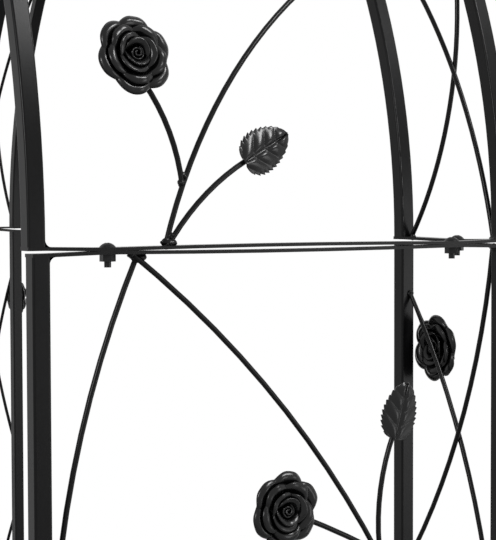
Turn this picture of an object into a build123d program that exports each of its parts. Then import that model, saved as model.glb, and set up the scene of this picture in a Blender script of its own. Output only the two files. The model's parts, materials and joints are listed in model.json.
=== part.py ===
from build123d import *
import math
import os

# Metal trellis arch. X runs across the opening, Y from the decorated front to the back, Z up from the floor.

# Driving dimensions in millimetres
tube_size = 16.0
tube_wall = 1.0
tube_corner = 2.0
strip_thickness = 3.0
strip_bow = 1.2
strip_land = 9.0
rod_diameter = 5.0
weld_gap = 0.05
flower_gap = 0.25

leg_height = 1640.0
arch_radius = 685.0
panel_depth = 500.0
return_width = 160.0
arch_overhang = 4.0

bolt_inset = 64.0
front_bolt_inset = 70.0
bolt_diameter = 6.0
bolt_hole = 6.6
bolt_head_diameter = 14.6
bolt_head_height = 4.0
bolt_tail = 5.0
recess_length = 7.0
recess_width = 1.4
recess_depth = 1.8
nut_across_flats = 12.0
nut_height = 6.0
thread_gap = 0.05
anchor_hole = 7.0

# Side panel of a leg: distances from the back post, and depths below the joint
short_vine_root = 94.7
short_vine_depth = 380.0
long_vine_root = 84.0
long_vine_depth = 812.0
middle_vine_reach = 330.0

# Side panel of an arch half: distances from the back post, and lengths along the bend above the joint
arch_vine_root = 119.2
arch_vine_middle = (206.2, 165.3)
arch_vine_height = 338.6
arch_link_start = 380.0

# Front panel: distances from the front post, and depths as shares of a cross or angles up the bend
crosses = 4
cross_middle_reach = 52.5
cross_middle_share = 0.4115
cross_end_share = 0.886
arch_cross_angles = [(0.0, 36.0), (37.0, 58.0)]
outer_rise_middle = (45.0, 0.342)
inner_rise_middle = (74.2, 0.306)
inner_rise_end_share = 0.82

# Stems: where each leaves its vine, as a share of the vine's length, and where it bends and ends
rose_stem_share = 0.415
rose_stem_bend = (291.0, 262.0)
rose_place = (231.0, 236.0)
leaf_stem_share = 0.425
leaf_stem_bend = (347.3, 240.0)
leaf_base = (364.1, 178.2)
leaf_aim = (377.9, 128.6)
arch_rose_stem_share = 0.107
arch_rose_stem_bend = (126.0, 108.0)
arch_rose_place = (93.0, 165.0)
arch_leaf_root = 121.0
arch_leaf_stem_bend = (155.0, 42.5)
arch_leaf_base = (204.8, 78.5)
arch_leaf_aim = (252.1, 105.6)
front_rose_share = 0.81
front_rose_crosses = [0, 2]

# Flowers and leaves
petal_sheet = 1.0
rose_layers = [
    dict(petals=6, reach=36.0, lobe=13.5, hub=6.0, bend=30.0, rise=55.0, wall=0.5, lip=6.0),
    dict(petals=5, reach=27.0, lobe=11.5, hub=5.0, bend=19.0, rise=72.0, wall=1.0, lip=5.0),
    dict(petals=4, reach=17.0, lobe=9.5, hub=4.0, bend=9.0, rise=84.0, wall=7.0, lip=4.0),
]
layer_turn = 25.0
lip_turn = 70.0
bud_height = 20.0
bud_first_radius = 1.6
bud_pitch = 2.4
bud_half_turns = 5
bud_dome_share = 1.6
leaf_length = 60.0
leaf_width = 40.0
leaf_belly = 0.66
leaf_fullness = 0.8
leaf_sheet = 1.2
leaf_crease = 15.0
leaf_teeth = 11
leaf_tooth_depth = 0.1
leaf_tooth_lean = 0.3
leaf_overlap = 6.0

# Places that follow from the driving dimensions
tube_half = tube_size / 2
rod_radius = rod_diameter / 2
seat = strip_thickness + strip_bow
post_x = -(arch_radius + seat)
inner_x = post_x + return_width
back_y = panel_depth / 2
front_y = -panel_depth / 2
joint_z = leg_height
spring_z = joint_z + seat
arch_length = arch_radius * math.pi / 2
post_touch = tube_half + rod_radius + weld_gap
lap = rod_radius + weld_gap


def side_point(across, depth, out=0.0):
    return Vector(post_x - out, back_y - across, joint_z - depth)


def front_point(across, depth, out=0.0):
    return Vector(post_x + across, front_y - out, joint_z - depth)


def bend_angle(length):
    return (length - seat) / arch_radius


def arch_point(across, length, out=0.0):
    angle = bend_angle(length)
    reach = arch_radius + out
    return Vector(-seat - reach * math.cos(angle), back_y - across, spring_z + reach * math.sin(angle))


def crescent_point(across, degrees, out=0.0):
    angle = math.radians(degrees)
    x = -seat - arch_radius * math.cos(angle) + across
    return Vector(x, front_y - out, spring_z + arch_radius * math.sin(angle))


def turned_leg(across, depth):
    return panel_depth - across, seat + leg_height - strip_thickness - depth


def turned_arch(across, length):
    return panel_depth - across, 2 * seat + arch_length - length


def placed(shape, origin, along, outward):
    return Plane(origin=origin, x_dir=along, z_dir=outward).location * shape


def largest(shape):
    return shape.solids().sort_by(SortBy.VOLUME)[-1]


def trimmed(shape, cutters):
    for cutter in cutters:
        shape = largest(shape - cutter)
    return shape


# Square tubes
def tube_section(clearance=0.0):
    return RectangleRounded(tube_size + 2 * clearance, tube_size + 2 * clearance, tube_corner + clearance)


def tube_ring():
    bore = tube_size - 2 * tube_wall
    return tube_section() - RectangleRounded(bore, bore, tube_corner - tube_wall)


def leg_post(x, y, section):
    low = strip_thickness
    high = joint_z - seat
    return extrude(Pos(x, y, low) * section, amount=high - low)


def arch_tube(x, y, section):
    centre = (x + arch_radius, y, spring_z)
    half = revolve(Pos(x, y, spring_z) * section, axis=Axis(centre, (0, 1, 0)), revolution_arc=90)
    apex_face = Plane(origin=(-seat, 0, 0), z_dir=(-1, 0, 0))
    return largest(split(half, bisect_by=apex_face, keep=Keep.TOP))


# Flat strips across the tube ends. Each springs a little away from the joint between its bolts and its posts.
def strip_edge(start, end, flat_start, bolts, rise):
    stops = [(start, strip_bow), (start + flat_start, strip_bow)]
    for bolt in bolts:
        stops += [(bolt - strip_land, 0), (bolt + strip_land, 0)]
    stops += [(end - tube_size, strip_bow), (end, strip_bow)]
    stops = [(x, y + rise) for x, y in stops]
    edges = []
    for near, far in zip(stops, stops[1:]):
        between_bolts = len(bolts) > 1 and near == stops[3]
        if between_bolts:
            crown = ((near[0] + far[0]) / 2, near[1] + strip_bow)
            edges.append(ThreePointArc(near, crown, far))
        elif near != far:
            edges.append(Line(near, far))
    return edges


def joint_strip(start, end, flat_start, bolts):
    inner = strip_edge(start, end, flat_start, bolts, 0.0)
    outer = strip_edge(start, end, flat_start, bolts, strip_thickness)
    ends = [Line(inner[0] @ 0, outer[0] @ 0), Line(inner[-1] @ 1, outer[-1] @ 1)]
    strip = extrude(make_face(inner + outer + ends), amount=tube_half, both=True)
    for bolt in bolts:
        strip -= Pos(bolt, 0, 0) * Rot(90, 0, 0) * Cylinder(bolt_hole / 2, 4 * strip_thickness)
    return strip


def side_joint_strip(overhang):
    bolts = [bolt_inset, panel_depth - bolt_inset]
    return joint_strip(-overhang - tube_half, panel_depth + tube_half, tube_size, bolts)


def front_joint_strip():
    return joint_strip(tube_half, return_width + tube_half, 0.0, [front_bolt_inset])


def on_joint(strip, origin, along, away):
    outward = Vector(along).cross(Vector(away))
    return placed(strip, origin, along, outward)


def apex_front_strip():
    top = spring_z + arch_radius - tube_half - weld_gap
    bottom = spring_z + math.sqrt((arch_radius - tube_half) ** 2 - return_width ** 2)
    plate = Box(strip_thickness, tube_size, top - bottom)
    return Pos(-strip_bow - strip_thickness / 2, front_y, (top + bottom) / 2) * plate


def foot_strip(start, end, holes):
    strip = Pos((start + end) / 2, 0, strip_thickness / 2) * Box(end - start, tube_size, strip_thickness)
    for hole in holes:
        strip -= Pos(hole, 0, strip_thickness / 2) * Cylinder(anchor_hole / 2, 2 * strip_thickness)
    return strip


# Round wires, each bent to an arc
def rod(arc, clearance=0.0):
    start = arc @ 0
    section = Plane(origin=start, z_dir=arc % 0) * Circle(rod_radius + clearance)
    pivot = Axis(arc.arc_center, (start - arc.arc_center).cross(arc % 0))
    return revolve(section, axis=pivot, revolution_arc=math.degrees(arc.length / arc.radius))


def vine_arc(root, touch, out=0.0):
    across, depth = touch
    width = root[0] - across
    radius = (width ** 2 + (root[1] - depth) ** 2) / (2 * abs(width))
    side = math.copysign(radius, width)
    sweep_half = math.asin((root[1] - depth) / radius) / 2
    middle = (across + side - side * math.cos(sweep_half), depth + radius * math.sin(sweep_half))
    return ThreePointArc(side_point(*root, out), side_point(*middle, out), side_point(*touch, out))


# Roses and leaves, modelled flat on XY with their backs at Z = 0
def cup_edges(layer, base, thickness):
    hub = Line((0, base + thickness), (layer["hub"], base + thickness))
    bend = JernArc(hub @ 1, hub % 1, layer["bend"] - thickness, layer["rise"])
    wall = Line(bend @ 1, bend @ 1 + (bend % 1) * layer["wall"])
    lip = JernArc(wall @ 1, wall % 1, layer["lip"] + thickness, -lip_turn)
    return [hub, bend, wall, lip]


def petal_outline(layer):
    ring = layer["reach"] - layer["lobe"]
    lobes = PolarLocations(ring, layer["petals"]) * Circle(layer["lobe"])
    return Sketch() + [Circle(ring)] + lobes


def petal_layer(layer, base, turn):
    lower = cup_edges(layer, base, 0.0)
    upper = cup_edges(layer, base, petal_sheet)
    axis_edge = Line(lower[0] @ 0, upper[0] @ 0)
    rim_edge = Line(lower[-1] @ 1, upper[-1] @ 1)
    profile = make_face(lower + upper + [axis_edge, rim_edge])
    cup = revolve(Plane.XZ * profile, axis=Axis.Z)
    cutter = extrude(petal_outline(layer), amount=2 * layer["reach"])
    return largest(cup & (Rot(0, 0, turn) * cutter))


def rolled_bud(base):
    edges = []
    point = Vector(bud_first_radius, 0)
    heading = Vector(0, 1)
    for turn in range(bud_half_turns):
        radius = bud_first_radius + turn * bud_pitch / 2
        edges.append(JernArc(point, heading, radius, 180))
        point = edges[-1] @ 1
        heading = edges[-1] % 1
    strip = trace(edges, line_width=petal_sheet)
    outer = bud_first_radius + bud_half_turns * bud_pitch
    dome_radius = bud_dome_share * outer
    dome = Pos(0, 0, base + bud_height - dome_radius) * Sphere(dome_radius)
    return largest(extrude(Pos(0, 0, base) * strip, amount=bud_height) & dome)


def make_rose():
    pieces = []
    for number, layer in enumerate(rose_layers):
        pieces.append(petal_layer(layer, number * petal_sheet, layer_turn * number))
    pieces.append(rolled_bud(len(rose_layers) * petal_sheet))
    return pieces


def leaf_half_width(share):
    return leaf_width / 2 * math.sin(math.pi * share ** leaf_belly) ** leaf_fullness


def leaf_outline():
    edge = [(0, 0)]
    for tooth in range(1, leaf_teeth):
        share = tooth / leaf_teeth
        tip = share + leaf_tooth_lean / leaf_teeth
        edge.append((leaf_length * share, leaf_half_width(share) * (1 - leaf_tooth_depth)))
        edge.append((leaf_length * tip, leaf_half_width(tip)))
    edge.append((leaf_length, 0))
    return make_face(Polyline(*edge, close=True))


def make_leaf():
    slope = math.tan(math.radians(leaf_crease))
    drop = leaf_width * slope
    upright = leaf_sheet / math.cos(math.radians(leaf_crease))
    fold = Polyline((0, 0), (leaf_width, -drop), (leaf_width, upright - drop), (0, upright), close=True)
    half_sheet = extrude(Plane.YZ * make_face(fold), amount=leaf_length)
    half = half_sheet & (Pos(0, 0, -drop) * extrude(leaf_outline(), amount=2 * drop + upright))
    return largest(half + mirror(half, about=Plane.XZ))


# Bolts, modelled with the head's seat at Z = 0 and the shank down -Z
def make_bolt():
    grip = 2 * strip_thickness + nut_height + bolt_tail
    cap_radius = (bolt_head_diameter ** 2 / 4 + bolt_head_height ** 2) / (2 * bolt_head_height)
    cap = Pos(0, 0, bolt_head_height - cap_radius) * Sphere(cap_radius)
    head = cap & (Pos(0, 0, bolt_head_height / 2) * Cylinder(bolt_head_diameter / 2, bolt_head_height))
    for turn in (0, 90):
        slot = Box(recess_length, recess_width, 2 * recess_depth)
        head -= Pos(0, 0, bolt_head_height) * Rot(0, 0, turn) * slot
    return largest(head + Pos(0, 0, -grip / 2) * Cylinder(bolt_diameter / 2, grip))


def make_nut():
    blank = extrude(RegularPolygon(nut_across_flats / 2, 6, major_radius=False), amount=-nut_height)
    return largest(blank - Cylinder(bolt_diameter / 2 + thread_gap, 3 * nut_height))


# One half of the arch, at negative X
def half_frame():
    nodes = {}
    cutters = {}
    posts = {"back": (post_x, back_y), "front": (post_x, front_y), "inner": (inner_x, front_y)}
    for name, (x, y) in posts.items():
        shift = arch_overhang if name == "back" else 0.0
        nodes["leg_" + name + "_post"] = leg_post(x, y, tube_ring())
        nodes["arch_" + name + "_tube"] = arch_tube(x, y + shift, tube_ring())
        cutters["leg_" + name] = leg_post(x, y, tube_section(weld_gap))
        cutters["arch_" + name] = arch_tube(x, y + shift, tube_section(weld_gap))
    nodes["arch_inner_tube"] = trimmed(nodes["arch_inner_tube"], [cutters["arch_front"]])

    corner = (post_x, back_y, joint_z)
    front_corner = (post_x, front_y, joint_z)
    apex = (0, back_y, spring_z + arch_radius)
    to_front = (0, -1, 0)
    to_middle = (1, 0, 0)
    up = (0, 0, 1)
    down = (0, 0, -1)
    nodes["leg_top_side_strip"] = on_joint(side_joint_strip(0.0), corner, to_front, down)
    nodes["leg_top_front_strip"] = on_joint(front_joint_strip(), front_corner, to_middle, down)
    nodes["arch_bottom_side_strip"] = on_joint(side_joint_strip(arch_overhang), corner, to_front, up)
    nodes["arch_bottom_front_strip"] = on_joint(front_joint_strip(), front_corner, to_middle, up)
    nodes["arch_apex_strip"] = on_joint(side_joint_strip(arch_overhang), apex, to_front, (-1, 0, 0))
    nodes["arch_apex_front_strip"] = apex_front_strip()
    side_foot = foot_strip(-tube_half, panel_depth + tube_half, [bolt_inset, panel_depth - bolt_inset])
    nodes["leg_foot_side_strip"] = placed(side_foot, (post_x, back_y, 0), to_front, up)
    front_foot = foot_strip(tube_half, return_width + tube_half, [])
    nodes["leg_foot_front_strip"] = placed(front_foot, (post_x, front_y, 0), to_middle, up)
    return nodes, cutters


def leg_side_vine(nodes):
    strips = [nodes["leg_top_side_strip"], nodes["leg_foot_side_strip"]]
    root = strip_thickness / 2
    short = [(short_vine_root, root), (post_touch, short_vine_depth)]
    long = [(long_vine_root, root), (panel_depth - post_touch, long_vine_depth)]
    arcs = []
    for route, out in ((short, -lap), (long, lap)):
        turned_route = [turned_leg(*stop) for stop in route]
        arcs += [vine_arc(*route, out), vine_arc(*turned_route, out)]
    rods = [trimmed(rod(arc), strips) for arc in arcs]
    centre = (panel_depth / 2, turned_leg(0, 0)[1] / 2)
    rise = (post_touch, centre[1] - middle_vine_reach)
    rods.append(largest(rod(vine_arc(centre, rise)) + rod(vine_arc(centre, turned_leg(*rise)))))
    return rods, arcs[2], arcs[3]


def leg_front_vine(nodes, cutters):
    pitch = (leg_height - strip_thickness) / crosses
    middle = cross_middle_share * pitch
    end = cross_end_share * pitch
    caps = [nodes["leg_top_front_strip"], nodes["leg_top_side_strip"], nodes["leg_foot_front_strip"]]
    posts = [cutters["leg_front"], cutters["leg_inner"]]
    rods = []
    carriers = []
    for number in range(crosses):
        high = number * pitch
        low = high + pitch
        falling = ThreePointArc(
            front_point(post_touch, high, -lap),
            front_point(cross_middle_reach, high + middle, -lap),
            front_point(return_width, high + end, -lap),
        )
        rising = ThreePointArc(
            front_point(post_touch, low, lap),
            front_point(cross_middle_reach, low - middle, lap),
            front_point(return_width, low - end, lap),
        )
        rods += [trimmed(rod(arc), posts + caps) for arc in (falling, rising)]
        carriers.append(rising)
    return rods, carriers


def arch_side_vine(nodes, cutters):
    strips = [nodes["arch_bottom_side_strip"], nodes["arch_apex_strip"]]
    posts = [cutters["arch_back"], cutters["arch_front"]]
    route = [(arch_vine_root, strip_thickness / 2), arch_vine_middle, (panel_depth, arch_vine_height)]
    lower = ThreePointArc(*[arch_point(*stop) for stop in route])
    upper = ThreePointArc(*[arch_point(*turned_arch(*stop)) for stop in route])
    link_rise = turned_arch(0.0, arch_link_start)[1]
    slope = math.atan2(link_rise - arch_link_start, panel_depth)
    set_back = weld_gap + rod_radius * math.sin(slope)
    back_stop = tube_half - arch_overhang + set_back
    front_stop = panel_depth - tube_half - set_back
    link = ThreePointArc(
        arch_point(back_stop, arch_link_start),
        arch_point((back_stop + front_stop) / 2, (arch_link_start + link_rise) / 2),
        arch_point(front_stop, link_rise),
    )
    rods = [trimmed(rod(arc), strips + posts) for arc in (lower, upper)]
    rods.append(rod(link))
    return rods, lower, upper


def arch_front_vine(nodes, cutters):
    caps = [nodes["arch_bottom_front_strip"], nodes["arch_bottom_side_strip"]]
    posts = [cutters["arch_front"], cutters["arch_inner"]]
    rods = []
    for number, (low, high) in enumerate(arch_cross_angles):
        span = high - low
        foot_out = post_touch if number == 0 else 0.0
        outer_rise = ThreePointArc(
            crescent_point(foot_out, low, -lap),
            crescent_point(outer_rise_middle[0], low + outer_rise_middle[1] * span, -lap),
            crescent_point(return_width, high, -lap),
        )
        inner_rise = ThreePointArc(
            crescent_point(return_width - foot_out, low, lap),
            crescent_point(inner_rise_middle[0], low + inner_rise_middle[1] * span, lap),
            crescent_point(0.0, low + inner_rise_end_share * span, lap),
        )
        rods += [trimmed(rod(arc), posts + caps) for arc in (outer_rise, inner_rise)]
    return rods


# Stems, roses and leaves of one half
def seated_rose(rose, spot, along, outward):
    origin = spot + outward * (rod_radius + flower_gap)
    return [placed(piece, origin, along, outward) for piece in rose]


def seated_leaf(leaf, base, aim, outward):
    along = (aim - base).normalized()
    depth = (rod_radius + flower_gap) / math.cos(math.radians(leaf_crease))
    return placed(leaf, base + outward * depth - along * leaf_overlap, along, outward)


# A stem cut square, so that the nearest corner of its end meets the wire that carries it
def square_cut(stem, carrier_direction):
    angle = math.radians((stem % 0).get_angle(carrier_direction))
    angle = min(angle, math.pi - angle)
    set_back = rod_radius / math.tan(angle / 2) + flower_gap / math.sin(angle)
    return stem.trim(set_back / stem.length, 1)


def leg_side_flowers(rose, leaf, vine, turned):
    stop = lambda place: turned_leg(*place) if turned else place
    spot = lambda place: side_point(*stop(place), lap)
    out = Vector(-1, 0, 0)
    vine_cutter = rod(vine, clearance=weld_gap)
    rose_stem = ThreePointArc(vine @ rose_stem_share, spot(rose_stem_bend), spot(rose_place))
    leaf_stem = ThreePointArc(vine @ leaf_stem_share, spot(leaf_stem_bend), spot(leaf_base))
    stem_cutter = rod(rose_stem, clearance=weld_gap)
    cut_stem = square_cut(rose_stem, vine % rose_stem_share)
    stems = [rod(cut_stem), trimmed(rod(leaf_stem), [vine_cutter, stem_cutter])]
    flower = seated_rose(rose, spot(rose_place), (0, -1, 0), out)
    blade = seated_leaf(leaf, spot(leaf_base), spot(leaf_aim), out)
    return stems, flower, blade


def arch_side_flowers(rose, leaf, vine, turned, strip):
    stop = lambda place: turned_arch(*place) if turned else place
    spot = lambda place: arch_point(*stop(place))
    out = lambda place: (arch_point(*stop(place), 1.0) - spot(place)).normalized()
    vine_cutter = rod(vine, clearance=weld_gap)
    root = spot((arch_leaf_root, strip_thickness / 2))
    rose_stem = ThreePointArc(vine @ arch_rose_stem_share, spot(arch_rose_stem_bend), spot(arch_rose_place))
    leaf_stem = ThreePointArc(root, spot(arch_leaf_stem_bend), spot(arch_leaf_base))
    stems = [trimmed(rod(stem), [vine_cutter, strip]) for stem in (rose_stem, leaf_stem)]
    flower = seated_rose(rose, spot(arch_rose_place), (0, -1, 0), out(arch_rose_place))
    blade = seated_leaf(leaf, spot(arch_leaf_base), spot(arch_leaf_aim), out(arch_leaf_base))
    return stems, flower, blade


# Bolts and nuts at the two leg joints and at the apex
def fasteners(bolt, nut):
    bolts = []
    nuts = []
    joint = [
        (post_x, back_y - bolt_inset),
        (post_x, front_y + bolt_inset),
        (post_x + front_bolt_inset, front_y),
    ]
    for x, y in joint:
        for side in (1, -1):
            bolts.append(placed(bolt, (side * x, y, joint_z + strip_thickness), (1, 0, 0), (0, 0, 1)))
            nuts.append(placed(nut, (side * x, y, joint_z - strip_thickness), (1, 0, 0), (0, 0, 1)))
    crown = spring_z + arch_radius
    for y in (back_y - bolt_inset, front_y + bolt_inset):
        bolts.append(placed(bolt, (-strip_thickness, y, crown), (0, 1, 0), (-1, 0, 0)))
        nuts.append(placed(nut, (strip_thickness, y, crown), (0, 1, 0), (-1, 0, 0)))
    return bolts, nuts


frame, cutters = half_frame()
half = {name: [solid] for name, solid in frame.items()}
half["leg_side_vine"], long_vine, low_long_vine = leg_side_vine(frame)
half["leg_front_vine"], cross_wires = leg_front_vine(frame, cutters)
half["arch_side_vine"], arch_vine, high_arch_vine = arch_side_vine(frame, cutters)
half["arch_front_vine"] = arch_front_vine(frame, cutters)

rose = make_rose()
leaf = make_leaf()
bouquets = {
    "leg": [leg_side_flowers(rose, leaf, long_vine, False), leg_side_flowers(rose, leaf, low_long_vine, True)],
    "arch": [
        arch_side_flowers(rose, leaf, arch_vine, False, frame["arch_bottom_side_strip"]),
        arch_side_flowers(rose, leaf, high_arch_vine, True, frame["arch_apex_strip"]),
    ],
}
for panel, (near, far) in bouquets.items():
    half[panel + "_stems"] = near[0] + far[0]
    half[panel + "_leaves"] = [near[2], far[2]]
    half[panel + "_side_rose_by_joint"] = near[1]
    half[panel + "_side_rose_far"] = far[1]
for number in front_rose_crosses:
    outward = Vector(0, -1, 0)
    spot = cross_wires[number] @ front_rose_share
    half["leg_front_rose_" + str(number + 1)] = seated_rose(rose, spot, (1, 0, 0), outward)

os.makedirs("parts", exist_ok=True)
for name, solids in half.items():
    mirrored = [mirror(solid, about=Plane.YZ) for solid in solids]
    export_step(Compound(children=solids), "parts/left_" + name + ".step")
    export_step(Compound(children=mirrored), "parts/right_" + name + ".step")
bolts, nuts = fasteners(make_bolt(), make_nut())
export_step(Compound(children=bolts), "parts/joint_bolts.step")
export_step(Compound(children=nuts), "parts/joint_nuts.step")
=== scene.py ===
import json
import math

import bmesh
import bpy
from mathutils import Matrix, Vector, noise
from mathutils.bvhtree import BVHTree


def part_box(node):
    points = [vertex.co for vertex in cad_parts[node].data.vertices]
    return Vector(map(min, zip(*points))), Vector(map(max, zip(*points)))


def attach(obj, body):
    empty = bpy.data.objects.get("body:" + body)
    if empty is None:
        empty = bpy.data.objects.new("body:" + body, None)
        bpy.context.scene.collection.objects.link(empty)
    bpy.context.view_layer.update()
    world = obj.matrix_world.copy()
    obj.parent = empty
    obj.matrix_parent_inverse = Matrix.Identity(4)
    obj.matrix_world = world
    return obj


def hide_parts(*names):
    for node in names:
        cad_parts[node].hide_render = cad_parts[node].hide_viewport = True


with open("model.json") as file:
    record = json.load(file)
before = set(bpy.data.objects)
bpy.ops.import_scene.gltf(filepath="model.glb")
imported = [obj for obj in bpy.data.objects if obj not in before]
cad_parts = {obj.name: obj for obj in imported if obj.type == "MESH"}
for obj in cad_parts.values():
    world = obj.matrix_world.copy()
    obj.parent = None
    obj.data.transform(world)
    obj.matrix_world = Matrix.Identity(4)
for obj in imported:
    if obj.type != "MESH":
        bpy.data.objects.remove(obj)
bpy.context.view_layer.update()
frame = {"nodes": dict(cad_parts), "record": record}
mm = 0.001
print("frame loaded,", len(frame["nodes"]), "nodes")


# where the arch stands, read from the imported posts, tubes and strips
def middle(node):
    low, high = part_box(node)
    return (low + high) / 2


tubeHalf = (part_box("left_leg_back_post")[1].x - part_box("left_leg_back_post")[0].x) / 2
postReach = -middle("left_leg_back_post").x
backY = middle("left_leg_back_post").y
frontY = middle("left_leg_front_post").y
panelDepth = backY - frontY
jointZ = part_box("left_leg_top_side_strip")[1].z
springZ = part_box("left_arch_front_tube")[0].z
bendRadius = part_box("left_arch_front_tube")[1].z - springZ - tubeHalf
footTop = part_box("left_leg_foot_side_strip")[1].z
seat = springZ - jointZ
wireRadius = 2.5 * mm
lap = 2.55 * mm
flowerGap = 0.25 * mm


def sidePoint(side, across, depth, out=0.0):
    return Vector((side * (postReach + out), backY - across, jointZ - depth))


def archPoint(side, across, length, out=0.0):
    angle = (length - seat) / bendRadius
    reach = bendRadius + out
    x = side * (seat + reach * math.cos(angle))
    return Vector((x, backY - across, springZ + reach * math.sin(angle)))


def turnedLeg(place):
    return (panelDepth - place[0], seat + jointZ - footTop - place[1])


def turnedArch(place):
    return (panelDepth - place[0], 2 * seat + bendRadius * math.pi / 2 - place[1])


# shader sockets that can be added and multiplied as plain numbers are
class Tap:
    def __init__(self, tree, socket=None):
        self.tree = tree
        self.socket = socket

    def make(self, kind, settings=None, values=None, out=0):
        node = self.tree.nodes.new(kind)
        for key, value in (settings or {}).items():
            if key == "stops":
                ramp = node.color_ramp.elements
                while len(ramp) < len(value):
                    ramp.new(0.5)
                for stop, (place, color) in zip(ramp, value):
                    stop.position = place
                    stop.color = color
            else:
                setattr(node, key, value)
        for key, value in (values or {}).items():
            socket = node.inputs[key]
            if isinstance(value, Tap):
                self.tree.links.new(value.socket, socket)
            else:
                socket.default_value = value
        return Tap(self.tree, node.outputs[out] if node.outputs else None)

    def sum(self, operation, first, second):
        return self.make("ShaderNodeMath", {"operation": operation}, {0: first, 1: second})

    def __add__(self, other):
        return self.sum("ADD", self, other)

    def __radd__(self, other):
        return self.sum("ADD", other, self)

    def __sub__(self, other):
        return self.sum("SUBTRACT", self, other)

    def __rsub__(self, other):
        return self.sum("SUBTRACT", other, self)

    def __mul__(self, other):
        return self.sum("MULTIPLY", self, other)

    def __rmul__(self, other):
        return self.sum("MULTIPLY", other, self)


# black powder coat: near black, semi-gloss, with the fine orange peel that a baked coat has
coats = {
    "tubes": {
        "dark": 0.0034, "light": 0.0056, "rough": 0.30, "swing": 0.10,
        "peel": 0.16, "grain": 700.0, "shine": 0.10,
    },
    "strips": {
        "dark": 0.0030, "light": 0.0050, "rough": 0.32, "swing": 0.10,
        "peel": 0.18, "grain": 700.0, "shine": 0.10,
    },
    "wires": {
        "dark": 0.0022, "light": 0.0040, "rough": 0.27, "swing": 0.08,
        "peel": 0.12, "grain": 900.0, "shine": 0.12,
    },
    "flowers": {
        "dark": 0.0022, "light": 0.0040, "rough": 0.25, "swing": 0.08,
        "peel": 0.05, "grain": 500.0, "shine": 0.24,
    },
    "fasteners": {
        "dark": 0.0040, "light": 0.0070, "rough": 0.30, "swing": 0.12,
        "peel": 0.10, "grain": 1500.0, "shine": 0.18,
    },
}
mottling = {"cloud": 11.0, "speck": 260.0, "cloudShare": 0.65, "low": 0.3, "high": 0.7, "peelDepth": 0.0002}


def powderCoat(name, coat):
    material = bpy.data.materials.new("coat_" + name)
    material.use_nodes = True
    tree = material.node_tree
    tree.nodes.clear()
    tap = Tap(tree)
    place = tap.make("ShaderNodeTexCoord", out=3)
    cloud = tap.make("ShaderNodeTexNoise", None, {"Vector": place, "Scale": mottling["cloud"], "Detail": 4.0})
    speck = tap.make("ShaderNodeTexNoise", None, {"Vector": place, "Scale": mottling["speck"], "Detail": 2.0})
    peel = tap.make("ShaderNodeTexNoise", None, {"Vector": place, "Scale": coat["grain"], "Detail": 1.5})
    mottle = mottling["cloudShare"] * cloud + (1 - mottling["cloudShare"]) * speck
    dark, light = coat["dark"], coat["light"]
    stops = [
        (mottling["low"], (dark, dark, dark * 1.04, 1)),
        (mottling["high"], (light, light, light * 1.05, 1)),
    ]
    color = tap.make("ShaderNodeValToRGB", {"stops": stops}, {"Fac": mottle})
    rough = coat["rough"] + coat["swing"] * (mottle - 0.5)
    bump = tap.make("ShaderNodeBump", None, {
        "Strength": coat["peel"], "Distance": mottling["peelDepth"], "Height": peel,
    })
    shader = tap.make("ShaderNodeBsdfPrincipled", None, {
        "Base Color": color, "Roughness": rough, "Normal": bump, "Specular IOR Level": coat["shine"],
    })
    tap.make("ShaderNodeOutputMaterial", None, {"Surface": shader})
    return material


finishes = {name: powderCoat(name, coat) for name, coat in coats.items()}
for part in frame["record"]["subparts"]:
    cadMesh = frame["nodes"][part["node"]].data
    cadMesh.materials.clear()
    cadMesh.materials.append(finishes[part["material_slot"]])


# mesh helpers
def gridFaces(mesh, rows):
    for near, far in zip(rows, rows[1:]):
        for spot in range(len(near) - 1):
            mesh.faces.new((near[spot], near[spot + 1], far[spot + 1], far[spot]))


def sheetMesh(surface, columns, rows, mesh):
    grid = []
    for row in range(rows + 1):
        line = []
        for column in range(columns + 1):
            line.append(mesh.verts.new(surface(column / columns, row / rows)))
        grid.append(line)
    gridFaces(mesh, grid)


def smoothStep(value):
    value = min(1.0, max(0.0, value))
    return value * value * (3 - 2 * value)


def mixed(first, second, share):
    return first + (second - first) * share


def addPiece(name, mesh, slotName, replaced=(), thickness=0.0):
    data = bpy.data.meshes.new(name)
    bmesh.ops.recalc_face_normals(mesh, faces=mesh.faces)
    mesh.to_mesh(data)
    mesh.free()
    for face in data.polygons:
        face.use_smooth = True
    piece = bpy.data.objects.new(name, data)
    bpy.context.scene.collection.objects.link(piece)
    data.materials.append(finishes[slotName])
    if thickness:
        solid = piece.modifiers.new("sheet", "SOLIDIFY")
        solid.thickness = thickness
        solid.offset = 0.0
    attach(piece, "root")
    if replaced:
        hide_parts(*replaced)


# a rose of pressed petals: each petal is cupped, and its edge is rolled back into a thick rim
rose = {
    "sheet": 1.6 * mm,
    "hub": 5.0 * mm,
    "rollWidth": 5.0 * mm,
    "rollDrop": 3.6 * mm,
    "leastRing": 4.0 * mm,
    "columns": 28,
    "rows": 24,
    "steps": 24,
    "bend": 0.62,
    "layers": [
        {
            "count": 6, "turn": 22, "length": 33.5, "half": 19.5, "lift": 0.0,
            "low": 14, "high": 44, "tip": 4, "wrap": 0.75,
        },
        {
            "count": 5, "turn": 55, "length": 28.0, "half": 18.0, "lift": 2.6,
            "low": 14, "high": 62, "tip": 26, "wrap": 0.9,
        },
        {
            "count": 3, "turn": 10, "length": 22.0, "half": 17.0, "lift": 3.8,
            "low": 26, "high": 82, "tip": 60, "wrap": 1.0,
        },
        {
            "count": 2, "turn": 75, "length": 18.0, "half": 14.0, "lift": 4.8,
            "low": 52, "high": 92, "tip": 80, "wrap": 1.0,
        },
    ],
    "bud": {
        "height": 18.5, "first": 1.2, "pitch": 2.3, "turns": 1.9, "base": 5.0,
        "start": 70, "columns": 84, "rows": 14, "flareFrom": 0.82,
    },
    "back": {"hole": 0.4 * mm, "reach": 1.5, "rise": 0.7 * mm, "columns": 32, "rows": 5},
}


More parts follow.
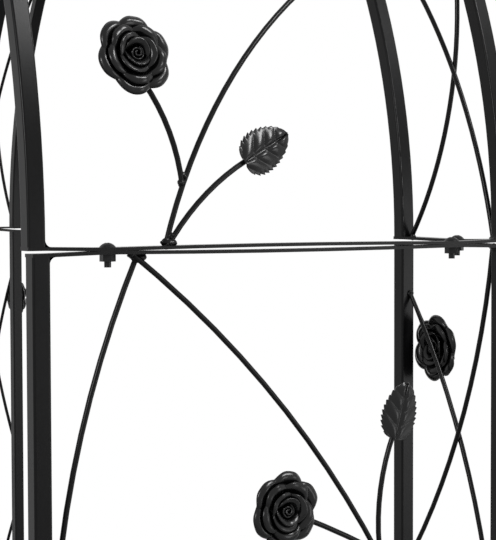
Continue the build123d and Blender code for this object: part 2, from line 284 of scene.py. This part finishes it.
def petalProfile(layer, share):
    steps = rose["steps"]
    bend = rose["bend"]
    radius = rose["hub"]
    height = layer["lift"] * mm
    step = layer["length"] * mm / steps
    for number in range(int(round(share * steps))):
        along = (number + 0.5) / steps
        lean = mixed(layer["low"], layer["high"], smoothStep(along / bend))
        lean = mixed(lean, layer["tip"], smoothStep((along - bend) / (1 - bend)))
        radius += step * math.cos(math.radians(lean))
        height += step * math.sin(math.radians(lean))
    return radius, height


def petal(mesh, layer, number, seed):
    wobble = [noise.noise(Vector((seed, number * 3.1, k * 7.7))) for k in range(2)]
    centre = math.radians(layer["turn"] + 360 / layer["count"] * number + 7 * wobble[0])
    stretch = 1 + 0.07 * wobble[1]
    steps = rose["steps"]
    profile = [petalProfile(layer, k / steps) for k in range(steps + 1)]

    def surface(u, v):
        across = 2 * u - 1
        rim = 1 - 0.40 * abs(across) ** 2.6
        share = v * rim
        spot = min(share * steps, steps - 0.001)
        low, high = profile[int(spot)], profile[int(spot) + 1]
        radius = mixed(low[0], high[0], spot % 1) * (1 + (stretch - 1) * share)
        height = mixed(low[1], high[1], spot % 1)
        spread = mixed(0.42, 1.0, smoothStep(share / 0.6)) * layer["half"] * mm
        edge = min((1 - abs(across)) * spread, (1 - v) * layer["length"] * mm * rim)
        roll = max(0.0, 1 - edge / rose["rollWidth"])
        sideways = across * spread
        ring = max(radius, rose["leastRing"])
        angle = centre + layer["wrap"] * sideways / ring
        flat = (1 - layer["wrap"]) * sideways
        lean = math.radians(mixed(layer["low"], layer["tip"], share))
        drop = rose["rollDrop"] * roll ** 2
        radius += drop * math.sin(lean) * 0.9 + 0.5 * mm * roll
        height -= drop * math.cos(lean)
        ripple = noise.noise(Vector((seed + 2 * across, number + 3 * v, 5.0)))
        height += across * 0.9 * mm * share + 1.1 * mm * share * ripple
        x = radius * math.cos(angle) - flat * math.sin(centre)
        y = radius * math.sin(angle) + flat * math.cos(centre)
        return Vector((x, y, height))

    sheetMesh(surface, rose["columns"], rose["rows"], mesh)


def rolledBud(mesh, seed):
    bud = rose["bud"]

    def surface(u, v):
        turn = u * bud["turns"] * 2 * math.pi
        radius = (bud["first"] + bud["pitch"] * u * bud["turns"]) * mm
        top = (bud["height"] - 2.6 * u ** 2 + 0.5 * math.sin(3 * turn + seed)) * mm
        height = mixed(bud["base"] * mm, top, v)
        swell = 1 + 0.35 * math.sin(math.pi * min(1.0, v * 0.85)) - 0.20 * v
        flare = 1.0 * mm * smoothStep((v - bud["flareFrom"]) / (1 - bud["flareFrom"])) * (0.4 + u)
        angle = turn + math.radians(bud["start"]) + 0.5 * v
        reach = radius * swell + flare
        return Vector((reach * math.cos(angle), reach * math.sin(angle), height))

    sheetMesh(surface, bud["columns"], bud["rows"], mesh)


def roseBack(mesh):
    back = rose["back"]

    def surface(u, v):
        angle = 2 * math.pi * u
        radius = mixed(back["hole"], rose["hub"] * back["reach"], v)
        return Vector((radius * math.cos(angle), radius * math.sin(angle), back["rise"] * v ** 3))

    sheetMesh(surface, back["columns"], back["rows"], mesh)


def placeMesh(mesh, origin, along, outward):
    upward = outward.cross(along)
    turn = Matrix((along, upward, outward)).transposed().to_4x4()
    mesh.transform(Matrix.Translation(origin) @ turn)


def buildRose(name, origin, along, outward, seed, mirrored):
    mesh = bmesh.new()
    roseBack(mesh)
    for layer in rose["layers"]:
        for number in range(layer["count"]):
            petal(mesh, layer, number, seed)
    rolledBud(mesh, seed)
    bmesh.ops.translate(mesh, vec=(0, 0, rose["sheet"] / 2), verts=mesh.verts)
    if mirrored:
        bmesh.ops.scale(mesh, vec=(-1, 1, 1), verts=mesh.verts)
    placeMesh(mesh, origin, along, outward)
    addPiece("rose_" + name, mesh, "flowers", [name], rose["sheet"])


# places of the roses and leaves on the side panels:
# distance from the back post, then depth or length from the joint
flowerPlaces = {
    "legRose": (231 * mm, 236 * mm),
    "archRose": (93 * mm, 165 * mm),
    "legLeaf": ((364.1 * mm, 178.2 * mm), (377.9 * mm, 128.6 * mm)),
    "archLeaf": ((204.8 * mm, 78.5 * mm), (252.1 * mm, 105.6 * mm)),
}
# the front panels' roses sit behind their wire and look back at it
frontRose = {"inward": 8 * mm, "drop": 6 * mm}
flowerSeat = wireRadius + flowerGap
names = {-1: "left_", 1: "right_"}


def legOut(side, place):
    return Vector((side, 0, 0))


def archOut(side, place):
    return (archPoint(side, *place, 1.0) - archPoint(side, *place)).normalized()


def legSpot(side, place):
    return sidePoint(side, *place, lap)


def archSpot(side, place):
    return archPoint(side, *place)


def placeRoses():
    seed = 1.0
    for side in (-1, 1):
        stops = {
            "leg_side_rose_by_joint": (legSpot, legOut, flowerPlaces["legRose"]),
            "leg_side_rose_far": (legSpot, legOut, turnedLeg(flowerPlaces["legRose"])),
            "arch_side_rose_by_joint": (archSpot, archOut, flowerPlaces["archRose"]),
            "arch_side_rose_far": (archSpot, archOut, turnedArch(flowerPlaces["archRose"])),
        }
        for node, (spot, out, place) in stops.items():
            outward = out(side, place)
            along = Vector((0, side, 0))
            origin = spot(side, place) + outward * flowerSeat
            buildRose(names[side] + node, origin, along, outward, seed, side > 0)
            seed += 1.7
        for node in ("leg_front_rose_1", "leg_front_rose_3"):
            origin = middle(names[side] + node)
            origin.x -= side * frontRose["inward"]
            origin.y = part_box(names[side] + node)[0].y
            origin.z -= frontRose["drop"]
            buildRose(names[side] + node, origin, Vector((-1, 0, 0)), Vector((0, 1, 0)), seed, False)
            seed += 1.7


placeRoses()
print("roses built")


# a leaf pressed from sheet: toothed edge, sunk midrib and quilted pads between the side veins
leaf = {
    "length": 55 * mm,
    "half": 21 * mm,
    "belly": 0.74,
    "fullness": 0.5,
    "teeth": 11,
    "bite": 0.12,
    "sheet": 1.2 * mm,
    "overlap": 6 * mm,
    "fold": 9.0,
    "veins": 4,
    "pad": 1.9 * mm,
    "groove": 1.6 * mm,
    "grooveHalf": 0.07,
    "slant": 0.30,
    "curl": 6 * mm,
    "columns": 28,
    "rows": 132,
}


def leafSurface(u, v):
    length = 0.004 + 0.995 * v
    across = 2 * u - 1
    half = leaf["half"] * math.sin(math.pi * length ** leaf["belly"]) ** leaf["fullness"]
    tooth = (length * leaf["teeth"]) % 1.0
    bite = leaf["bite"] * (1 - tooth) if 0.06 < length < 0.985 else 0.0
    reach = abs(across)
    sweep = length - leaf["slant"] * reach * half / leaf["half"]
    edge = half * (1 - bite * smoothStep((reach - 0.75) / 0.25))
    fold = -math.tan(math.radians(leaf["fold"])) * reach * half
    ridge = abs(math.sin(math.pi * leaf["veins"] * (sweep + 0.06))) ** 0.6
    pads = leaf["pad"] * ridge * smoothStep(reach / 0.22) * (1 - smoothStep((reach - 0.25) / 0.75))
    groove = -leaf["groove"] * math.exp(-(across / leaf["grooveHalf"]) ** 2) * smoothStep(length / 0.1)
    curl = -leaf["curl"] * max(0.0, length - 0.6) ** 2
    return Vector((leaf["length"] * length, across * edge, fold + pads + groove + curl + leaf["groove"]))


def buildLeaves(name, frames):
    mesh = bmesh.new()
    for base, aim, outward in frames:
        blade = bmesh.new()
        sheetMesh(leafSurface, leaf["columns"], leaf["rows"], blade)
        along = (aim - base).normalized()
        side = outward - along * outward.dot(along)
        origin = base - along * leaf["overlap"] + outward * (flowerSeat + leaf["sheet"] / 2)
        placeMesh(blade, origin, along, side.normalized())
        scratch = bpy.data.meshes.new("scratch")
        blade.to_mesh(scratch)
        blade.free()
        mesh.from_mesh(scratch)
        bpy.data.meshes.remove(scratch)
    addPiece("blade_" + name, mesh, "flowers", [name], leaf["sheet"])


def placeLeaves():
    for side in (-1, 1):
        legBase, legAim = flowerPlaces["legLeaf"]
        archBase, archAim = flowerPlaces["archLeaf"]
        legFrames = []
        archFrames = []
        for turn in (lambda place: place, turnedLeg):
            out = legOut(side, turn(legBase))
            legFrames.append((legSpot(side, turn(legBase)), legSpot(side, turn(legAim)), out))
        for turn in (lambda place: place, turnedArch):
            out = archOut(side, turn(archBase))
            archFrames.append((archSpot(side, turn(archBase)), archSpot(side, turn(archAim)), out))
        buildLeaves(names[side] + "leg_leaves", legFrames)
        buildLeaves(names[side] + "arch_leaves", archFrames)


placeLeaves()
print("leaves built")


# weld beads wherever a wire meets a tube, a strip or a wire of another piece
weld = {"near": 0.45 * mm, "group": 9 * mm, "radius": 3.5 * mm, "lumps": 0.35, "lumpGrain": 420}
# the webs of weld that fill the fork of the two wires at each root: centre, then half sizes across and along
webs = {
    "leg": ((93 * mm, 5.5 * mm), (8 * mm, 5 * mm)),
    "arch": ((123 * mm, 6 * mm), (8 * mm, 4.5 * mm)),
}


def nodesOf(*slots):
    return [part["node"] for part in frame["record"]["subparts"] if part["material_slot"] in slots]


def placedVerts(node):
    piece = frame["nodes"][node]
    return [piece.matrix_world @ vert.co for vert in piece.data.vertices]


def weldSpots(node, trees):
    groups = []
    for place in placedVerts(node):
        for other, tree in trees.items():
            if other == node or other.split("_")[0] != node.split("_")[0]:
                continue
            touch = tree.find_nearest(place, weld["near"])[0]
            if touch is None:
                continue
            for group in groups:
                if (group[0] - touch).length < weld["group"]:
                    group.append(touch)
                    break
            else:
                groups.append([touch])
    return [sum(group, Vector()) / len(group) for group in groups]


def bead(mesh, centre, seed, across=weld["radius"], along=weld["radius"]):
    ball = bmesh.ops.create_icosphere(mesh, subdivisions=3, radius=weld["radius"])["verts"]
    for vert in ball:
        lump = 1 + weld["lumps"] * noise.noise(vert.co * weld["lumpGrain"] + Vector((seed, 0, 0)))
        swell = Vector((1, across / weld["radius"], along / weld["radius"]))
        vert.co = vert.co * swell * lump + centre
        vert.co.z = max(vert.co.z, 0.0)


def buildWelds():
    trees = {}
    for node in nodesOf("tubes", "strips", "wires"):
        faces = [tuple(face.vertices) for face in frame["nodes"][node].data.polygons]
        trees[node] = BVHTree.FromPolygons(placedVerts(node), faces)
    count = 0
    for side, name in names.items():
        mesh = bmesh.new()
        for node in nodesOf("wires"):
            if node.startswith(name):
                for place in weldSpots(node, trees):
                    bead(mesh, place, count)
                    count += 1
        for spot, unit, turn in ((sidePoint, "leg", turnedLeg), (archPoint, "arch", turnedArch)):
            place, halves = webs[unit]
            bead(mesh, spot(side, *place), count, *halves)
            bead(mesh, spot(side, *turn(place)), count, *halves)
        addPiece(name + "weld_beads", mesh, "wires")
    print("weld beads:", count)


buildWelds()


# concave weld fillets in the corners between posts and strips
fillet = {"up": 6 * mm, "over": 5.5 * mm, "wide": 0.8, "sunk": 0.3 * mm, "skin": 0.4 * mm}


def cornerFillet(mesh, corner, up, over, wide):
    def surface(u, v):
        angle = v * math.pi / 2
        rise = fillet["up"] * (1 - math.sin(angle)) - fillet["sunk"] * v
        reach = fillet["over"] * (1 - math.cos(angle)) - fillet["sunk"] * (1 - v)
        return corner + up * rise + over * reach + wide * (2 * u - 1) * tubeHalf * fillet["wide"]

    sheetMesh(surface, 6, 8, mesh)


def buildFillets():
    across = Vector((1, 0, 0))
    for side, name in names.items():
        mesh = bmesh.new()
        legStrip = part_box(name + "leg_top_side_strip")[0].z
        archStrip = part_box(name + "arch_bottom_side_strip")[1].z
        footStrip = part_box(name + "leg_foot_side_strip")[1].z
        for post, way in (("back", -1), ("front", 1)):
            for unit, height, up in (("leg", legStrip, -1), ("leg", footStrip, 1), ("arch", archStrip, 1)):
                tube = name + unit + "_" + post + ("_post" if unit == "leg" else "_tube")
                corner = Vector((side * postReach, middle(tube).y + way * tubeHalf, height))
                cornerFillet(mesh, corner, Vector((0, 0, up)), Vector((0, way, 0)), across)
        addPiece(name + "corner_fillets", mesh, "strips", (), fillet["skin"])
    print("corner fillets built")


buildFillets()


# stage: pale floor, white surroundings for the eye, soft boxes
stage = {"floor": 5.0, "floorColor": (0.82, 0.82, 0.82, 1), "ambient": 0.18}


def buildFloor():
    mesh = bmesh.new()
    bmesh.ops.create_grid(mesh, x_segments=1, y_segments=1, size=stage["floor"] / 2)
    data = bpy.data.meshes.new("floor")
    mesh.to_mesh(data)
    mesh.free()
    floor = bpy.data.objects.new("floor", data)
    bpy.context.scene.collection.objects.link(floor)
    material = bpy.data.materials.new("pale_floor")
    material.use_nodes = True
    shader = material.node_tree.nodes["Principled BSDF"]
    shader.inputs["Base Color"].default_value = stage["floorColor"]
    shader.inputs["Roughness"].default_value = 0.7
    data.materials.append(material)


def buildWorld():
    world = bpy.data.worlds.new("studio")
    bpy.context.scene.world = world
    world.use_nodes = True
    tree = world.node_tree
    tree.nodes.clear()
    tap = Tap(tree)
    camera = tap.make("ShaderNodeLightPath", out=0)
    paths = camera.socket.node.outputs
    shown = camera + Tap(tree, paths["Is Glossy Ray"]) + Tap(tree, paths["Is Transmission Ray"])
    ambient = stage["ambient"]
    color = tap.make("ShaderNodeMix", {"data_type": "RGBA"}, {
        0: shown, 6: (ambient, ambient, ambient, 1), 7: (1, 1, 1, 1),
    }, out=2)
    back = tap.make("ShaderNodeBackground", None, {"Color": color, "Strength": 1.0})
    tap.make("ShaderNodeOutputWorld", None, {"Surface": back})


lamps = {
    "key": {"at": (-2.3, -1.1, 3.5), "to": (-0.6, 0.0, 1.8), "size": 0.7, "power": 60},
    "side": {"at": (-1.7, 2.6, 2.5), "to": (-0.6, 0.0, 1.7), "size": 0.6, "power": 45},
    "fill": {"at": (-3.4, -2.2, 1.4), "to": (-0.6, 0.0, 1.5), "size": 1.4, "power": 25},
}


def buildLamps():
    for name, lamp in lamps.items():
        data = bpy.data.lights.new(name, "AREA")
        data.size = lamp["size"]
        data.energy = lamp["power"]
        light = bpy.data.objects.new(name, data)
        bpy.context.scene.collection.objects.link(light)
        light.location = lamp["at"]
        aim = Vector(lamp["to"]) - Vector(lamp["at"])
        light.rotation_euler = aim.to_track_quat("-Z", "Y").to_euler()


# the photograph's eye point, found from the posts and the joint
view = {
    "at": Vector((-1.8677, 0.7724, 0.0379)),
    "yaw": -31.630,
    "pitch": -2.378,
    "roll": -0.165,
    "focalPixels": 1550.2,
    "imageHeight": 540,
    "sensor": 36.0,
}


def buildCamera():
    data = bpy.data.cameras.new("eye")
    data.sensor_width = view["sensor"]
    data.lens = view["focalPixels"] / view["imageHeight"] * view["sensor"]
    data.clip_start = 0.05
    eye = bpy.data.objects.new("eye", data)
    bpy.context.scene.collection.objects.link(eye)
    yaw = math.radians(view["yaw"])
    pitch = math.radians(view["pitch"])
    ahead = Vector((math.cos(yaw) * math.cos(pitch), math.sin(yaw) * math.cos(pitch), math.sin(pitch)))
    turn = ahead.to_track_quat("-Z", "Y").to_matrix().to_4x4()
    turn = turn @ Matrix.Rotation(math.radians(view["roll"]), 4, "Z")
    eye.matrix_world = Matrix.Translation(view["at"] + Vector((0, 0, jointZ))) @ turn
    bpy.context.scene.camera = eye


buildFloor()
buildWorld()
buildLamps()
buildCamera()
bpy.context.scene.view_settings.view_transform = "Standard"
print("stage, lamps and camera set")
